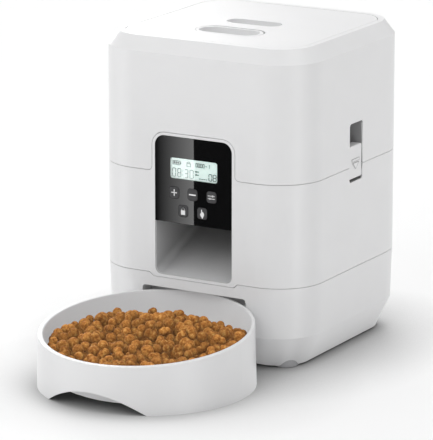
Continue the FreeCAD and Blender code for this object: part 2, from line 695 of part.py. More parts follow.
def make_base_shell():
    outer = body_block(BASE_BOTTOM, BASE_TOP)
    shell = outer.cut(body_block(BASE_BOTTOM - 0.5, BASE_TOP + 1.0, WALL))
    liner = front_plate(-RECESS_HALF - 2.2, RECESS_HALF + 2.2, -20.0, RECESS_TOP + 2.2, 5.2,
                        -92.8, RECESS_BACK + 2.2).common(outer)
    cups = [cylinder(FOOT_R + 2.2, BASE_BOTTOM, 13.4, x, y).common(outer) for x, y in FEET]
    bosses = [base_boss(x, y) for x, y in BASE_SCREWS]
    shell = fused([shell, liner] + cups + bosses)
    recess = front_plate(-RECESS_HALF, RECESS_HALF, -20.0, RECESS_TOP, 3.0, -100.0, RECESS_BACK)
    sockets = [cylinder(FOOT_R + 0.25, -1.0, 11.2, x, y) for x, y in FEET]
    pilots = [cylinder(1.4, 6.0, 22.0, x, y) for x, y in BASE_SCREWS]
    jack = Part.makeCylinder(4.6, 12.0, V(58.0, 88.0, 36.5), V(0, 1, 0))
    dip = dip_form(SEAM, -HALF_D - 1, -88.0)
    return cut_all(shell, [recess, dip, jack] + sockets + pilots)


def make_bottom_plate():
    base = body_block(PLATE_BOTTOM, PLATE_TOP, WALL + 0.3)
    recess = box(-50.4, 50.4, -100, RECESS_BACK + 2.8, 0, 10)
    sockets = [cylinder(FOOT_R + 2.5, 0, 10, x, y) for x, y in FEET]
    opening = box(-BATTERY_HALF, BATTERY_HALF, BATTERY_FRONT - 2, BATTERY_REAR + 2, 0, 10)
    holes = [cylinder(1.6, 0, 10, x, y) for x, y in BASE_SCREWS]
    pivot = rod_x(HINGE_PIN_R + 0.05, -BATTERY_HALF - 1.6, BATTERY_HALF + 1.6, HINGE_Y, HINGE_Z)
    return cut_all(base, [recess, opening, pivot] + sockets + holes)


def make_base_screws():
    return Part.makeCompound([screw(x, y, PLATE_BOTTOM - 0.02, 14.0) for x, y in BASE_SCREWS])


def make_feet():
    feet = []
    for x, y in FEET:
        foot = cylinder(FOOT_R, 0.0, 11.0, x, y)
        feet.append(foot.makeChamfer(0.8, [e for e in foot.Edges if e.BoundBox.ZMax < 0.01]))
    return Part.makeCompound(feet)


def make_battery_box():
    x = BATTERY_HALF + 2.0
    tray = box(-x, x, BATTERY_FRONT - 4, BATTERY_REAR + 4, PLATE_TOP + 0.1, BATTERY_TOP + 2.0)
    tray = tray.cut(box(-BATTERY_HALF, BATTERY_HALF, BATTERY_FRONT - 2, BATTERY_REAR + 2,
                        0.0, BATTERY_TOP))
    ribs = [box(side * 17.6 - 0.8, side * 17.6 + 0.8, BATTERY_FRONT - 2.5, BATTERY_REAR + 2.5,
                30.0, BATTERY_TOP + 0.5) for side in (-1, 1)]
    return fused([tray] + ribs)


def make_battery_contacts():
    plates = []
    for x in (-35.0, 0.0, 35.0):
        plates.append(box(x - 8, x + 8, BATTERY_REAR + 1.3, BATTERY_REAR + 1.9, 16, 29.5))
        plates.append(box(x - 8, x + 8, BATTERY_FRONT - 1.9, BATTERY_FRONT - 1.3, 16, 29.5))
    return Part.makeCompound(plates)


def make_battery_springs():
    springs = []
    for x in (-35.0, 0.0, 35.0):
        springs.append(coil(5.0, 0.4, 5.6, 3, (x, BATTERY_FRONT - 0.8, 23.0), (0, 1, 0)))
    return Part.makeCompound(springs)


def make_battery_door():
    """A flat door whose rear edge is a full round about the hinge, with a stub pin at each end."""
    half = BATTERY_HALF - 0.4
    door = box(-half, half, BATTERY_FRONT - 1.6, HINGE_Y, PLATE_BOTTOM, PLATE_TOP)
    barrel = rod_x(HINGE_R, -half, half, HINGE_Y, HINGE_Z)
    pins = rod_x(HINGE_PIN_R, -half - 1.4, half + 1.4, HINGE_Y, HINGE_Z)
    grip = stadium(26.0, 9.0, BATTERY_FRONT + 8.0, PLATE_BOTTOM - 1, PLATE_BOTTOM + 0.9)
    return fused([door, barrel, pins]).cut(grip)


def make_dc_jack():
    body = box(53.0, 63.0, 79.0, 90.4, 31.4, 42.0)
    barrel = Part.makeCylinder(4.4, 4.4, V(58.0, 89.8, 36.5), V(0, 1, 0))
    bore = Part.makeCylinder(2.8, 10.0, V(58.0, 85.0, 36.5), V(0, 1, 0))
    pin = Part.makeCylinder(1.0, 8.6, V(58.0, 84.6, 36.5), V(0, 1, 0))
    return fused([fused([body, barrel]).cut(bore), pin])


def make_power_board():
    board = box(28.0, 70.0, 56.0, 88.0, 29.6, 31.2)
    part = cylinder(5.0, 31.1, 43.0, 38.0, 68.0)
    return fused([board, part])


# ---- bowl ---------------------------------------------------------------------------------------
def rim_cut():
    """Everything above the bowl's sloping rim."""
    reach = 120.0
    low = BOWL_RIM_Z - BOWL_SLOPE * reach
    high = BOWL_RIM_Z + BOWL_SLOPE * reach
    points = [(-reach, BOWL_Y - reach, low), (-reach, BOWL_Y + reach, high),
              (-reach, BOWL_Y + reach, 120.0), (-reach, BOWL_Y - reach, 120.0)]
    return prism(points, (2 * reach, 0, 0))


def arch_cut():
    """The finger arch in the front of the bowl's skirt."""
    half = ARCH_HALF
    points = []
    for step in range(13):
        x = -half + 2 * half * step / 12
        points.append(V(x, BOWL_Y - 100, ARCH_HEIGHT * (1 - (x / half) ** 2)))
    arc = Part.BSplineCurve()
    arc.interpolate(points)
    left = V(-half, BOWL_Y - 100, -2)
    right = V(half, BOWL_Y - 100, -2)
    edges = [arc.toShape(), Part.LineSegment(points[-1], right).toShape(),
             Part.LineSegment(right, left).toShape(), Part.LineSegment(left, points[0]).toShape()]
    opening = Part.Face(Part.Wire(edges)).extrude(V(0, 60, 0))
    return opening.common(cylinder(95.0, -3, 20, 0, BOWL_Y).cut(cylinder(81.4, -4, 21, 0, BOWL_Y)))


def make_bowl():
    height = 64.0
    body = Part.makeCone(BOWL_BOTTOM_R, BOWL_BOTTOM_R - BOWL_LEAN * height, height, V(0, BOWL_Y, 0))
    flare = (BOWL_INNER_R - 78.2) / (BOWL_RIM_Z - 20.0)
    cavity = revolved([(0, 6.2), (62.0, 6.2), (66.0, 6.9), (70.0, 8.6), (73.6, 11.2), (76.4, 14.6),
                       (78.2, 20.0), (78.2 + flare * 50.0, 70.0), (0, 70.0)], 0, BOWL_Y)
    under = revolved([(0, -1), (83.4, -1), (82.8, 27.0), (81.0, 27.0), (80.2, 20.0), (78.0, 13.0),
                      (74.8, 8.6), (71.0, 5.6), (BOWL_DISC_R, BOWL_DISC_Z), (0, BOWL_DISC_Z)],
                     0, BOWL_Y)
    bowl = cut_all(body, [rim_cut(), cavity, under])
    rim = [e for e in bowl.Edges if e.BoundBox.ZMin > 30.0 and e.BoundBox.XLength > 100.0]
    return bowl.makeFillet(0.9, rim).cut(arch_cut())


# ---- write every piece --------------------------------------------------------------------------
def main():
    latch_right = make_latch()
    latch_left = latch_right.mirror(V(0, 0, 0), V(1, 0, 0))
    spring_right = make_latch_spring()
    spring_left = spring_right.mirror(V(0, 0, 0), V(1, 0, 0))
    parts = {
        "lid": make_lid(),
        "lid_liner": make_lid_liner(),
        "lid_screws": make_lid_screws(),
        "lid_seal": make_lid_seal(),
        "lid_button": make_lid_button(),
        "lid_spring": make_lid_spring(),
        "tank_shell": make_tank_shell(),
        "tank_hopper": make_tank_hopper(),
        "middle_housing": make_middle_housing(),
        "rotor_housing": make_rotor_housing(),
        "deck_screws": make_deck_screws(),
        "shaft_bush": make_shaft_bush(),
        "chute": make_chute(),
        "rotor": make_rotor(),
        "rotor_wipers": make_rotor_wipers(),
        "stirrer": make_stirrer(),
        "output_shaft": make_output_shaft(),
        "output_gear": make_output_gear(),
        "idler_gear": make_idler_gear(),
        "idler_pin": make_idler_pin(),
        "motor_pinion": make_motor_pinion(),
        "gearbox_case": make_gearbox_case(),
        "gearbox_cover": make_gearbox_cover(),
        "gearbox_screws": make_gearbox_screws(),
        "motor": make_motor(),
        "panel_fascia": make_panel_fascia(),
        "lcd_lens": make_lcd_lens(),
        "lcd_module": make_lcd_module(),
        "key_switches": make_key_switches(),
        "control_board": make_control_board(),
        "latch_right": latch_right,
        "latch_left": latch_left,
        "latch_spring_right": spring_right,
        "latch_spring_left": spring_left,
        "base_shell": make_base_shell(),
        "bottom_plate": make_bottom_plate(),
        "base_screws": make_base_screws(),
        "feet": make_feet(),
        "battery_box": make_battery_box(),
        "battery_contacts": make_battery_contacts(),
        "battery_springs": make_battery_springs(),
        "battery_door": make_battery_door(),
        "dc_jack": make_dc_jack(),
        "power_board": make_power_board(),
        "bowl": make_bowl(),
    }
    for name in KEY_CENTRES:
        parts[name] = make_key(name)
    os.makedirs("parts", exist_ok=True)
    for name, shape in parts.items():
        placed = shape.copy().translate(V(0, SHIFT_Y, 0))
        placed.exportStep("parts/" + name + ".step")
        state = "ok" if placed.isValid() else "INVALID"
        print(name, len(placed.Solids), "solid(s)", round(placed.Volume), "mm3", state)


main()
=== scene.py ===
import json
import math

import bmesh
import bpy
import numpy as np
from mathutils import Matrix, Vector


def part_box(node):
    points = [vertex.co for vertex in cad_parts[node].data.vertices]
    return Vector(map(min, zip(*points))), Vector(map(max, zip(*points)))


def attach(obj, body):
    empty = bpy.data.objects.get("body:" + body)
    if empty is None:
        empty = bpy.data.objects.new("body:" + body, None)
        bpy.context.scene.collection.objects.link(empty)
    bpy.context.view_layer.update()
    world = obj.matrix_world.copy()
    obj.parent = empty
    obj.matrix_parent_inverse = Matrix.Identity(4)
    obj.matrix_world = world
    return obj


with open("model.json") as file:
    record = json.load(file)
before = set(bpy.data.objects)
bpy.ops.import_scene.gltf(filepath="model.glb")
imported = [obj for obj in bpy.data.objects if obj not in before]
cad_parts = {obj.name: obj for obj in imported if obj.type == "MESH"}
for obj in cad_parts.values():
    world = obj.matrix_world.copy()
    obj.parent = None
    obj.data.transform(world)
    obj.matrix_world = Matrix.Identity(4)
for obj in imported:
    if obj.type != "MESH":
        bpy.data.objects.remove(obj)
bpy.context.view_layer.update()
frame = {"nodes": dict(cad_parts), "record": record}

MM = 0.001
tank_low, tank_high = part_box("tank_shell")
AXIS_Y = (tank_low.y + tank_high.y) / 2      # the housing's vertical axis, x = 0


def place(x, y, z):
    """A point given in millimetres from the housing's axis on the floor, in metres in the shared frame."""
    return Vector((x * MM, y * MM + AXIS_Y, z * MM))


# ---- node helpers -------------------------------------------------------------------------------
def new_material(name):
    mat = bpy.data.materials.new(name)
    mat.use_nodes = True
    return mat, mat.node_tree, mat.node_tree.nodes["Principled BSDF"]


def add_node(tree, kind, **settings):
    """A new node. Settings named after an input set its value, others set a property."""
    made = tree.nodes.new(kind)
    for key, value in settings.items():
        label = key.replace("_", " ")
        if label in made.inputs:
            made.inputs[label].default_value = value
        else:
            setattr(made, key, value)
    return made


def noise(tree, scale, detail=2.0, rough=0.5):
    """A noise texture in the object's own space, scale in features per metre."""
    where = add_node(tree, "ShaderNodeTexCoord")
    made = add_node(tree, "ShaderNodeTexNoise", Scale=scale, Detail=detail, Roughness=rough)
    tree.links.new(where.outputs["Object"], made.inputs["Vector"])
    return made.outputs["Fac"]


def ramp(tree, value, stops):
    """A colour ramp over value with stops of (position, colour)."""
    made = tree.nodes.new("ShaderNodeValToRGB")
    band = made.color_ramp
    while len(band.elements) < len(stops):
        band.elements.new(0.5)
    for element, (position, colour) in zip(band.elements, stops):
        element.position = position
        element.color = (*colour, 1.0)
    tree.links.new(value, made.inputs["Fac"])
    return made.outputs["Color"]


def spread(tree, value, low, high):
    """Maps a noise's middle range onto low to high."""
    made = add_node(tree, "ShaderNodeMapRange", From_Min=0.3, From_Max=0.7, To_Min=low, To_Max=high)
    tree.links.new(value, made.inputs["Value"])
    return made.outputs["Result"]


def bump(tree, shader, height, distance, strength=1.0):
    made = add_node(tree, "ShaderNodeBump", Strength=strength, Distance=distance)
    tree.links.new(height, made.inputs["Height"])
    tree.links.new(made.outputs["Normal"], shader.inputs["Normal"])


def moulded(name, colour, rough, grain=2600.0, depth=0.00002, vary=0.02, rough_vary=0.05, metal=0.0):
    """Moulded plastic, rubber or metal: faint colour drift, uneven gloss and a fine surface grain."""
    mat, tree, shader = new_material(name)
    dark = tuple(c * (1 - vary) for c in colour)
    light = tuple(min(1.0, c * (1 + vary)) for c in colour)
    drift = noise(tree, 28.0, 3.0)
    tree.links.new(ramp(tree, drift, [(0.35, dark), (0.65, light)]), shader.inputs["Base Color"])
    uneven = noise(tree, 16.0, 2.0)
    tree.links.new(spread(tree, uneven, rough - rough_vary, rough + rough_vary), shader.inputs["Roughness"])
    bump(tree, shader, noise(tree, grain, 2.0), depth)
    shader.inputs["Metallic"].default_value = metal
    return mat


def paint_hollow_shade(mat, reach, least):
    """Paints shade into a colour: it darkens in corners and hollows, down to a least share of itself."""
    tree = mat.node_tree
    shader = tree.nodes["Principled BSDF"]
    base = shader.inputs["Base Color"].links[0].from_socket
    open_share = add_node(tree, "ShaderNodeAmbientOcclusion", Distance=reach, samples=12)
    share = add_node(tree, "ShaderNodeMapRange", To_Min=least, To_Max=1.0)
    tree.links.new(open_share.outputs["AO"], share.inputs["Value"])
    scaled = add_node(tree, "ShaderNodeVectorMath", operation="SCALE")
    tree.links.new(base, scaled.inputs[0])
    tree.links.new(share.outputs["Result"], scaled.inputs["Scale"])
    tree.links.new(scaled.outputs["Vector"], shader.inputs["Base Color"])
    return mat


# ---- materials of the CAD parts -----------------------------------------------------------------
shell = moulded("white_satin_plastic", (0.82, 0.82, 0.825), 0.30, depth=0.000001, vary=0.008,
                rough_vary=0.012)
inner = moulded("grey_inner_plastic", (0.60, 0.61, 0.62), 0.5)
# The chute's grey plastic darkens in its corners and hollows: painted shade.
chute_grey_painted_shade = paint_hollow_shade(moulded("grey_chute_plastic_painted_shade", (0.76, 0.76, 0.765), 0.45, depth=0.000004), 0.05, 0.26)
# Dark grey standing in for the shade inside the finger pockets: painted shade.
painted_shade_pocket = moulded("pocket_painted_shade", (0.37, 0.37, 0.375), 0.6)
fascia = moulded("gloss_black_fascia", (0.006, 0.006, 0.0063), 0.012, grain=60.0, depth=0.000001,
                 rough_vary=0.004)
key_cap = moulded("grey_key_plastic", (0.036, 0.036, 0.039), 0.5, grain=3800.0, depth=0.00003)
rubber = moulded("grey_rubber", (0.46, 0.46, 0.47), 0.75, grain=1500.0, depth=0.00005, vary=0.06)
silicone = moulded("silicone", (0.74, 0.75, 0.76), 0.45, grain=900.0)
acetal = moulded("natural_acetal", (0.77, 0.76, 0.71), 0.4)
rotor_plastic = moulded("rotor_plastic", (0.68, 0.69, 0.70), 0.45)
dark = moulded("black_plastic", (0.02, 0.02, 0.021), 0.45, vary=0.1)
board = moulded("circuit_board", (0.03, 0.17, 0.07), 0.35, grain=700.0, depth=0.00006, vary=0.18)
steel = moulded("turned_steel", (0.58, 0.58, 0.60), 0.28, grain=1400.0, vary=0.05, metal=1.0)


def display_material():
    """A pale mint reflective display: faint cell structure and a soft backlight."""
    mat, tree, shader = new_material("display_face")
    drift = noise(tree, 45.0, 2.0)
    colour = ramp(tree, drift, [(0.3, (0.78, 0.90, 0.87)), (0.7, (0.82, 0.93, 0.90))])
    tree.links.new(colour, shader.inputs["Base Color"])
    tree.links.new(colour, shader.inputs["Emission Color"])
    shader.inputs["Emission Strength"].default_value = 0.5
    shader.inputs["Roughness"].default_value = 0.55
    bump(tree, shader, noise(tree, 5000.0), 0.00001)
    return mat


def lens_material():
    """A thin clear window: see-through, with the mirror gloss of its front face."""
    mat, tree, shader = new_material("clear_lens")
    tree.nodes.remove(shader)
    through = add_node(tree, "ShaderNodeBsdfTransparent", Color=(0.97, 0.98, 0.975, 1.0))
    gloss = add_node(tree, "ShaderNodeBsdfGlossy", Roughness=0.03)
    edge = add_node(tree, "ShaderNodeFresnel", IOR=1.45)
    haze = noise(tree, 300.0, 3.0)
    tree.links.new(ramp(tree, haze, [(0.3, (0.9, 0.9, 0.9)), (0.7, (1.0, 1.0, 1.0))]), gloss.inputs["Color"])
    mix = tree.nodes.new("ShaderNodeMixShader")
    tree.links.new(edge.outputs["Fac"], mix.inputs["Fac"])
    tree.links.new(through.outputs["BSDF"], mix.inputs[1])
    tree.links.new(gloss.outputs["BSDF"], mix.inputs[2])
    tree.links.new(mix.outputs["Shader"], tree.nodes["Material Output"].inputs["Surface"])
    return mat


FINISHES = {
    "shell_white": shell, "inner_grey": inner, "panel_black": fascia, "lens_clear": lens_material(),
    "lcd_face": display_material(), "key_grey": key_cap, "board_green": board, "rubber_grey": rubber,
    "seal_clear": silicone, "rotor_blue": rotor_plastic, "gear_white": acetal, "steel": steel,
    "dark_plastic": dark,
}
for part in frame["record"]["subparts"]:
    node = frame["nodes"][part["node"]]
    node.data.materials.clear()
    node.data.materials.append(FINISHES[part["material_slot"]])
frame["nodes"]["chute"].data.materials[0] = chute_grey_painted_shade

# The finger pockets over the side latches: how far out, how wide to each side and how high they reach. Their
# faces get a dark grey that is painted shade, not the plastic's own colour.
POCKET_OUT, POCKET_SIDE, POCKET_UP = (80.0, 94.3), 11.1, (139.0, 187.5)
for name in ("tank_shell", "middle_housing"):
    mesh = frame["nodes"][name].data
    mesh.materials.append(painted_shade_pocket)
    for face in mesh.polygons:
        x, y, z = face.center.x / MM, (face.center.y - AXIS_Y) / MM, face.center.z / MM
        outward = POCKET_OUT[0] < abs(x) < POCKET_OUT[1]
        upward = POCKET_UP[0] < z < POCKET_UP[1]
        if outward and upward and abs(y) < POCKET_SIDE:
            face.material_index = 1


# ---- printed marks ------------------------------------------------------------------------------
def stroke(x0, z0, x1, z1, width):
    """A round-ended line as an outline of (x, z) points."""
    turn = math.atan2(z1 - z0, x1 - x0)
    points = []
    for cx, cz, start in ((x1, z1, turn - math.pi / 2), (x0, z0, turn + math.pi / 2)):
        for i in range(7):
            a = start + math.pi * i / 6
            points.append((cx + width / 2 * math.cos(a), cz + width / 2 * math.sin(a)))
    return points


def path(points, width):
    return [stroke(*a, *b, width) for a, b in zip(points, points[1:])]


def disc(cx, cz, radius, count=20):
    return [(cx + radius * math.cos(2 * math.pi * i / count), cz + radius * math.sin(2 * math.pi * i / count))
            for i in range(count)]


def arc(cx, cz, radius, start, end, width, count=10):
    turns = [math.radians(start + (end - start) * i / count) for i in range(count + 1)]
    return path([(cx + radius * math.cos(a), cz + radius * math.sin(a)) for a in turns], width)


def rounded(x0, x1, z0, z1, radius):
    points = []
    for cx, cz, start in ((x1 - radius, z1 - radius, 0), (x0 + radius, z1 - radius, 90),
                          (x0 + radius, z0 + radius, 180), (x1 - radius, z0 + radius, 270)):
        for i in range(5):
            a = math.radians(start + 90 * i / 4)
            points.append((cx + radius * math.cos(a), cz + radius * math.sin(a)))
    return points


def marks(name, outlines, front, back, material, body, spot=place):
    """Thin raised marks: outlines in (across, z) millimetres, between two planes. They face the front unless
    spot puts them elsewhere."""
    bm = bmesh.new()
    for outline in outlines:
        near = [bm.verts.new(spot(x, front, z)) for x, z in outline]
        far = [bm.verts.new(spot(x, back, z)) for x, z in outline]
        bm.faces.new(near)
        bm.faces.new(list(reversed(far)))
        for i in range(len(outline)):
            j = (i + 1) % len(outline)
            bm.faces.new([near[j], near[i], far[i], far[j]])
    bmesh.ops.recalc_face_normals(bm, faces=bm.faces)
    mesh = bpy.data.meshes.new(name)
    bm.to_mesh(mesh)
    bm.free()
    mesh.materials.append(material)
    piece = bpy.data.objects.new(name, mesh)
    bpy.context.scene.collection.objects.link(piece)
    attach(piece, body)


SEGMENTS = {"0": "abcdef", "1": "bc", "3": "abgcd", "8": "abcdefg"}


def digit(char, x, z, width, height, line):
    """A seven-segment digit with its lower left corner at (x, z)."""
    left, right, mid, top = x + line / 2, x + width - line / 2, z + height / 2, z + height - line / 2
    low, gap = z + line / 2, line * 0.75
    bars = {"a": (left + gap, top, right - gap, top), "b": (right, mid + gap, right, top - gap),
            "c": (right, low + gap, right, mid - gap), "d": (left + gap, low, right - gap, low),
            "e": (left, low + gap, left, mid - gap), "f": (left, mid + gap, left, top - gap),
            "g": (left + gap, mid, right - gap, mid)}
    return [stroke(*bars[s], line) for s in SEGMENTS[char]]


def display_outlines():
    """Clock, portion count and plain pictograms, as the display shows them."""
    found = []
    for char, x, w in (("0", -19.8, 3.5), ("8", -15.0, 3.5), ("3", -8.6, 3.4), ("0", -3.9, 3.6)):
        found += digit(char, x, 148.8, w, 7.2, 0.6)
    found += [disc(-10.1, 154.2, 0.42), disc(-10.1, 151.0, 0.42)]
    for char, x in (("0", 13.4), ("8", 17.3)):
        found += digit(char, x, 148.7, 3.3, 5.8, 0.6)
    battery = [(-19.2, 158.9), (-12.6, 158.9), (-12.6, 161.9), (-19.2, 161.9), (-19.2, 158.9)]
    found += path(battery, 0.45) + [rounded(-12.2, -11.5, 159.7, 161.1, 0.2)]
    found += [rounded(x, x + 1.3, 159.5, 161.3, 0.2) for x in (-18.5, -16.7, -14.9)]
    lock = [(-6.4, 158.3), (-3.0, 158.3), (-3.0, 160.7), (-6.4, 160.7), (-6.4, 158.3)]
    found += path(lock, 0.4) + arc(-4.7, 160.9, 1.15, 0, 180, 0.4)
    for x in (1.9, 4.0, 6.1, 8.2):
        found += path([(x, 158.8), (x + 1.3, 158.8), (x + 1.3, 161.7), (x, 161.7), (x, 158.8)], 0.42)
    found += [stroke(10.6, 160.1, 11.9, 160.1, 0.5)] + digit("1", 11.0, 158.5, 3.4, 3.6, 0.5)
    found += [disc(1.9, 154.9, 0.75)] + [stroke(3.1, 154.9, 4.3, 154.9, 0.7)]
    found += [rounded(1.3, 2.6, 151.8, 153.1, 0.3), stroke(3.1, 152.4, 4.3, 152.4, 0.7)]
    found += [stroke(x, 149.5, x + 1.1, 149.5, 0.55) for x in (5.0, 7.0, 9.0, 11.0)]
    return found


ink = moulded("display_ink", (0.19, 0.23, 0.23), 0.5, grain=3000.0, vary=0.1)
print_white = moulded("white_print", (0.86, 0.86, 0.86), 0.5, grain=3000.0)
# Grey for the latch arrow's outlines: painted shade along the raised edges.
arrow_edge_painted_shade = moulded("painted_arrow_shade", (0.46, 0.46, 0.46), 0.5, grain=3000.0)
glass_back = (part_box("lcd_lens")[1].y - AXIS_Y) / MM
marks("display_marks", display_outlines(), glass_back + 0.08, glass_back + 0.3, ink, "base")


def key_mark(name, outlines):
    """A white symbol on a key's face, its outlines given from the middle of the key."""
    low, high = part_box(name)
    cx, cz = (low.x + high.x) / 2 / MM, (low.z + high.z) / 2 / MM
    front = (low.y - AXIS_Y) / MM
    moved = [[(cx + x, cz + z) for x, z in outline] for outline in outlines]
    marks("mark_" + name[4:], moved, front - 0.06, front + 0.04, print_white, name)


key_mark("key_plus", [stroke(-2.3, 0, 2.3, 0, 0.8), stroke(0, -2.4, 0, -0.4, 0.8),
                      stroke(0, 0.4, 0, 2.4, 0.8)])
key_mark("key_minus", [stroke(-2.7, 0, 2.7, 0, 1.1)])
key_mark("key_set", [stroke(-2.9, 1.1, 2.9, 1.1, 0.55), stroke(-2.9, -1.1, 2.9, -1.1, 0.55),
                     disc(1.2, 1.1, 0.85), disc(-1.2, -1.1, 0.85)])
key_mark("key_lock", [rounded(-1.9, 1.9, -3.0, 0.7, 0.3), stroke(-1.15, 0.7, -1.15, 1.5, 0.5),
                      stroke(1.15, 0.7, 1.15, 1.5, 0.5)] + arc(0, 1.6, 1.15, 0, 180, 0.5))
key_mark("key_feed", [[(-0.7, 3.3), (-0.1, 3.3), (0.25, 1.5), (0.9, 1.4), (1.6, 0.6), (1.95, -0.6),
                       (1.6, -2.0), (0.9, -3.1), (0.8, -3.9), (0.0, -3.9), (-0.3, -3.1), (-1.3, -1.9),
                       (-1.7, -0.6), (-1.3, 0.2), (-0.8, 0.4)]])


def latch_mark(side):
    """Grey outlines painted along the raised arrow on a side latch, as the shade its edges would cast."""
    low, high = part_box("latch_" + side)
    way = 1.0 if side == "right" else -1.0
    face = max(abs(low.x), abs(high.x)) / MM
    arrow = path([(-6.2, 155.6), (6.2, 155.6), (6.2, 157.5), (-6.2, 157.5), (-6.2, 155.6)], 0.35)
    arrow += path([(-4.9, 154.2), (4.9, 154.2), (0.0, 149.2), (-4.9, 154.2)], 0.4)
    marks("mark_latch_" + side, arrow, face - 0.45, face + 0.04, arrow_edge_painted_shade, "latch_" + side,
          lambda across, depth, z: place(way * depth, across, z))


latch_mark("right")
latch_mark("left")


# ---- pet food in the bowl -----------------------------------------------------------------------
BOWL_Y = -167.0                              # the bowl's axis
FOOD_RADIUS, DISH_FLOOR = 78.5, 14.0         # how far the food reaches from the axis, and its lowest level
HEAP_Y, HEAP_LEVEL, HEAP_RISE = -150.0, 35.9, 20.0
LAYER = 27.0                                 # the food is filled in down to this far below its surface
rng = np.random.default_rng(11)


def heap(x, y):
    """Height of the food's surface: a low heap below the chute, steeper towards the rear."""
    length = 37.0 if y < HEAP_Y else 20.0
    bulge = HEAP_RISE * np.exp(-(x / 50.0) ** 2 / 2 - ((y - HEAP_Y) / length) ** 2 / 2)
    return HEAP_LEVEL + 0.045 * x + bulge


def pour():
    """Centres and radii of the pieces, dropped one by one onto those below."""
    settled = np.zeros((0, 4))
    misses = 0
    while misses < 60:
        radius = rng.uniform(3.8, 5.5)
        spots = rng.uniform(-79, 79, (24, 2))
        spots = spots[np.hypot(spots[:, 0], spots[:, 1]) < FOOD_RADIUS - radius]
        best = None
        for x, dy in spots:
            y = BOWL_Y + dy
            top = heap(x, y)
            rest = max(DISH_FLOOR, top - LAYER) + radius
            if len(settled):
                reach = 0.93 * (settled[:, 3] + radius)
                across = (settled[:, 0] - x) ** 2 + (settled[:, 1] - y) ** 2
                near = across < reach ** 2
                if near.any():
                    rest = max(rest, (settled[near, 2] + np.sqrt(reach[near] ** 2 - across[near])).max())
            room = top - radius - rest
            if room > -1.5 and (best is None or room > best[0]):
                best = (room, x, y, rest)
        if best is None:
            misses += 1
            continue
        settled = np.vstack([settled, [best[1], best[2], best[3], radius]])
    return settled


def crumb(directions):
    """A crumbly nugget as distances along the given unit directions: one to three fused lobes."""
    lobes = rng.choice((1, 2, 3), p=(0.3, 0.45, 0.25))
    axis = rng.normal(size=3)
    axis /= np.linalg.norm(axis)
    shape = np.zeros(len(directions))
    for k in range(lobes):
        centre = axis * (k - (lobes - 1) / 2) * 0.80 + rng.normal(size=3) * 0.10
        centre *= min(1.0, 0.58 / max(np.linalg.norm(centre), 1e-6))
        radius = rng.uniform(0.64, 0.80)
        along = directions @ centre
        shape = np.maximum(shape, along + np.sqrt(np.maximum(along ** 2 - centre @ centre + radius ** 2, 0)))
    for _ in range(26):
        spot = rng.normal(size=3)
        spot /= np.linalg.norm(spot)
        shape = shape + rng.uniform(-0.05, 0.07) * np.exp((directions @ spot - 1) * rng.uniform(12, 60))
    return shape


def ball(level):
    bm = bmesh.new()
    bmesh.ops.create_icosphere(bm, subdivisions=level, radius=1.0)
    points = np.array([v.co for v in bm.verts])
    faces = np.array([[v.index for v in f.verts] for f in bm.faces])
    bm.free()
    return points, faces


def random_turn():
    q = rng.normal(size=4)
    w, x, y, z = q / np.linalg.norm(q)
    return np.array([[1 - 2 * (y * y + z * z), 2 * (x * y - z * w), 2 * (x * z + y * w)],
                     [2 * (x * y + z * w), 1 - 2 * (x * x + z * z), 2 * (y * z - x * w)],
                     [2 * (x * z - y * w), 2 * (y * z + x * w), 1 - 2 * (x * x + y * y)]])


def food_material():
    """Baked pet food: crumbly brown crust with paler grains, each piece a shade of its own."""
    mat, tree, shader = new_material("baked_kibble")
    crust = noise(tree, 420.0, 6.0, 0.65)
    base = ramp(tree, crust, [(0.30, (0.22, 0.070, 0.014)), (0.44, (0.45, 0.168, 0.034)),
                              (0.56, (0.63, 0.27, 0.062)), (0.70, (0.86, 0.49, 0.15))])
    tint = add_node(tree, "ShaderNodeAttribute", attribute_name="tint")
    shade = add_node(tree, "ShaderNodeHueSaturation")
    tree.links.new(base, shade.inputs["Color"])
    tree.links.new(tint.outputs["Fac"], shade.inputs["Value"])
    tree.links.new(shade.outputs["Color"], shader.inputs["Base Color"])
    shader.inputs["Roughness"].default_value = 0.8
    shader.inputs["Specular IOR Level"].default_value = 0.25
    bump(tree, shader, noise(tree, 900.0, 5.0, 0.7), 0.0005, 0.9)
    # The food darkens between and under its pieces: painted shade.
    return paint_hollow_shade(mat, 0.008, 0.30)


def make_food():
    directions, faces = ball(4)
    points, tints, triangles = [], [], []
    for count, (x, y, z, radius) in enumerate(pour()):
        local = directions * crumb(directions)[:, None]
        local *= radius / np.abs(local).max() * 1.22
        points.append(local @ random_turn().T + (x, y, z))
        tints.append(np.full(len(directions), rng.uniform(0.78, 1.18)))
        triangles.append(faces + count * len(directions))
    points, tints, triangles = np.vstack(points), np.concatenate(tints), np.vstack(triangles)
    points = points * MM + (0, AXIS_Y, 0)
    mesh = bpy.data.meshes.new("kibble")
    mesh.vertices.add(len(points))
    mesh.vertices.foreach_set("co", points.ravel())
    mesh.loops.add(triangles.size)
    mesh.loops.foreach_set("vertex_index", triangles.ravel())
    mesh.polygons.add(len(triangles))
    mesh.polygons.foreach_set("loop_start", np.arange(0, triangles.size, 3))
    mesh.attributes.new("tint", "FLOAT", "POINT").data.foreach_set("value", tints)
    mesh.update(calc_edges=True)
    mesh.shade_smooth()
    mesh.materials.append(food_material())
    food = bpy.data.objects.new("kibble", mesh)
    bpy.context.scene.collection.objects.link(food)
    food.visible_diffuse = False
    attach(food, "bowl")


make_food()


# ---- floor, light and camera --------------------------------------------------------------------
# The floor's darkening round the object is a painted contact shadow.
FLOOR_SHADOW_REACH, FLOOR_SHADOW_LEAST = 0.09, 0.2      # how far the floor darkens round the object, and its darkest share


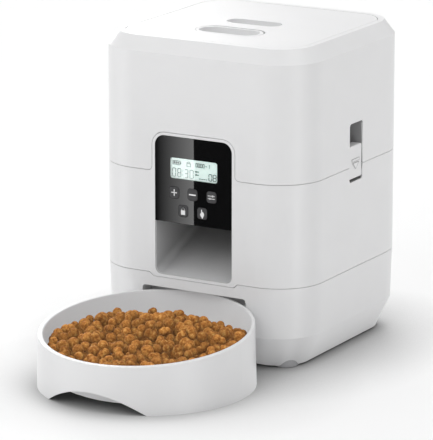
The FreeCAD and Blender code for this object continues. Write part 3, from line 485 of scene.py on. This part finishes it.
def make_floor():
    mat, tree, shader = new_material("pale_floor_painted_shadow")
    drift = noise(tree, 3.0)
    pale = ramp(tree, drift, [(0.3, (0.925, 0.925, 0.925)), (0.7, (0.935, 0.935, 0.935))])
    tree.links.new(pale, shader.inputs["Base Color"])
    # Painted contact shadow: the floor's colour darkens near the object.
    paint_hollow_shade(mat, FLOOR_SHADOW_REACH, FLOOR_SHADOW_LEAST)
    shader.inputs["Roughness"].default_value = 0.9
    shader.inputs["Specular IOR Level"].default_value = 0.0
    mesh = bpy.data.meshes.new("floor")
    mesh.from_pydata([(-30, -30, 0), (30, -30, 0), (30, 30, 0), (-30, 30, 0)], [], [(0, 1, 2, 3)])
    mesh.materials.append(mat)
    floor = bpy.data.objects.new("floor", mesh)
    bpy.context.scene.collection.objects.link(floor)
    floor.visible_glossy = False


SKY_LEVEL = 0.471
BAND_TOP = 3.0                            # the brightest a band can be
# Azimuth in degrees and brightness of the bands round the horizon.
BANDS = ((-180, 1.0), (-80, 1.0), (-63, 2.3), (-37, 1.9), (-13, 1.6), (3, 1.0), (50, 1.0), (62, 1.4),
         (72, 3.0), (82, 1.4), (94, 1.0), (113, 0.3), (130, 0.8), (150, 1.0))


def make_sky():
    """An even dome. Below the horizon, where only gloss can see it, bands stand in for the studio's sides."""
    world = bpy.data.worlds.new("studio")
    bpy.context.scene.world = world
    world.use_nodes = True
    tree = world.node_tree
    back = tree.nodes["Background"]
    back.inputs["Color"].default_value = (1.0, 1.0, 1.0, 1.0)
    where = add_node(tree, "ShaderNodeTexCoord")
    split = add_node(tree, "ShaderNodeSeparateXYZ")
    tree.links.new(where.outputs["Generated"], split.inputs["Vector"])
    front = add_node(tree, "ShaderNodeMath", operation="MULTIPLY")
    front.inputs[1].default_value = -1.0
    tree.links.new(split.outputs["Y"], front.inputs[0])
    turn = add_node(tree, "ShaderNodeMath", operation="ARCTAN2")
    tree.links.new(split.outputs["X"], turn.inputs[0])
    tree.links.new(front.outputs[0], turn.inputs[1])
    round_way = add_node(tree, "ShaderNodeMapRange", From_Min=-math.pi, From_Max=math.pi)
    tree.links.new(turn.outputs[0], round_way.inputs["Value"])
    stops = [((azimuth + 180) / 360, (level / BAND_TOP,) * 3) for azimuth, level in BANDS]
    band = add_node(tree, "ShaderNodeMath", operation="MULTIPLY_ADD")
    band.inputs[1].default_value = BAND_TOP
    band.inputs[2].default_value = -SKY_LEVEL
    tree.links.new(ramp(tree, round_way.outputs["Result"], stops), band.inputs[0])
    below = add_node(tree, "ShaderNodeMath", operation="LESS_THAN")
    below.inputs[1].default_value = 0.0
    tree.links.new(split.outputs["Z"], below.inputs[0])
    level = add_node(tree, "ShaderNodeMath", operation="MULTIPLY_ADD")
    level.inputs[2].default_value = SKY_LEVEL
    tree.links.new(band.outputs[0], level.inputs[0])
    tree.links.new(below.outputs[0], level.inputs[1])
    tree.links.new(level.outputs[0], back.inputs["Strength"])


# Azimuth, elevation, strength and width. The strengths and SKY_LEVEL are from a least-squares fit of
# separate renders, one for each light, to the tones of the photograph.
SUNS = (("rear_left_low", -135, 14, 0.845, 28), ("rear_high", 180, 62, 0.628, 35),
        ("front", 0, 38, 0.4, 35), ("right_high", 90, 62, 0.387, 35),
        ("front_left", -45, 38, 0.278, 35), ("left_low", -90, 14, 0.252, 28),
        ("rear_left_high", -135, 62, 0.202, 35), ("top", 0, 89, 0.17, 60))


def make_sun(name, azimuth, elevation, strength, size):
    """A far soft light. Azimuth is measured from the front, positive to the right."""
    light = bpy.data.lights.new(name, "SUN")
    light.energy = strength
    light.angle = math.radians(size)
    lamp = bpy.data.objects.new(name, light)
    a, e = math.radians(azimuth), math.radians(elevation)
    source = Vector((math.sin(a) * math.cos(e), -math.cos(a) * math.cos(e), math.sin(e)))
    lamp.rotation_euler = source.to_track_quat("Z", "Y").to_euler()
    bpy.context.scene.collection.objects.link(lamp)


# The card hangs in the plane CARD_Y. Its light fades in from CARD_DARK to CARD_EDGE, where it stops.
CARD_Y, CARD_DARK, CARD_EDGE, CARD_LEVEL = -431.0, -236.0, -196.3, 3.5
CARD_X, CARD_Z = (-300, -110), (2, 125)


def make_card():
    """A softbox with a flag beside it, seen only in gloss: it lights one half of the fascia."""
    mat, tree, shader = new_material("softbox_and_flag")
    where = add_node(tree, "ShaderNodeTexCoord")
    split = add_node(tree, "ShaderNodeSeparateXYZ")
    tree.links.new(where.outputs["Object"], split.inputs["Vector"])
    fade = add_node(tree, "ShaderNodeMapRange", From_Min=CARD_DARK * MM, From_Max=CARD_EDGE * MM)
    tree.links.new(split.outputs["X"], fade.inputs["Value"])
    lit = add_node(tree, "ShaderNodeMath", operation="LESS_THAN")
    lit.inputs[1].default_value = CARD_EDGE * MM
    tree.links.new(split.outputs["X"], lit.inputs[0])
    level = add_node(tree, "ShaderNodeMath", operation="MULTIPLY")
    tree.links.new(fade.outputs["Result"], level.inputs[0])
    tree.links.new(lit.outputs[0], level.inputs[1])
    glow = add_node(tree, "ShaderNodeMath", operation="MULTIPLY")
    glow.inputs[1].default_value = CARD_LEVEL
    tree.links.new(level.outputs[0], glow.inputs[0])
    light = add_node(tree, "ShaderNodeEmission")
    tree.links.new(glow.outputs[0], light.inputs["Strength"])
    tree.nodes.remove(shader)
    tree.links.new(light.outputs["Emission"], tree.nodes["Material Output"].inputs["Surface"])
    (left, right), (low, high) = CARD_X, CARD_Z
    outline = ((left, low), (right, low), (right, high), (left, high))
    corners = [place(x, CARD_Y, z) for x, z in outline]
    mesh = bpy.data.meshes.new("softbox")
    mesh.from_pydata(corners, [], [(0, 1, 2, 3)])
    mesh.materials.append(mat)
    card = bpy.data.objects.new("softbox", mesh)
    bpy.context.scene.collection.objects.link(card)
    card.visible_camera = card.visible_diffuse = card.visible_shadow = card.visible_transmission = False


CAMERA_PLACE, CAMERA_AIM = (1352.1, -2402.2, 795.3), (-25.16, -14.52, 94.84)
FOCAL_LENGTH, SENSOR_HEIGHT = 285.46, 36.0


def make_camera():
    data = bpy.data.cameras.new("camera")
    data.sensor_fit = "VERTICAL"
    data.sensor_height = SENSOR_HEIGHT
    data.lens = FOCAL_LENGTH
    data.clip_end = 200.0
    camera = bpy.data.objects.new("camera", data)
    camera.location = place(*CAMERA_PLACE)
    aim = place(*CAMERA_AIM) - camera.location
    camera.rotation_euler = aim.to_track_quat("-Z", "Y").to_euler()
    bpy.context.scene.collection.objects.link(camera)
    bpy.context.scene.camera = camera


make_floor()
make_sky()
for sun in SUNS:
    make_sun(*sun)
make_card()
make_camera()
bpy.context.scene.view_settings.view_transform = "Standard"
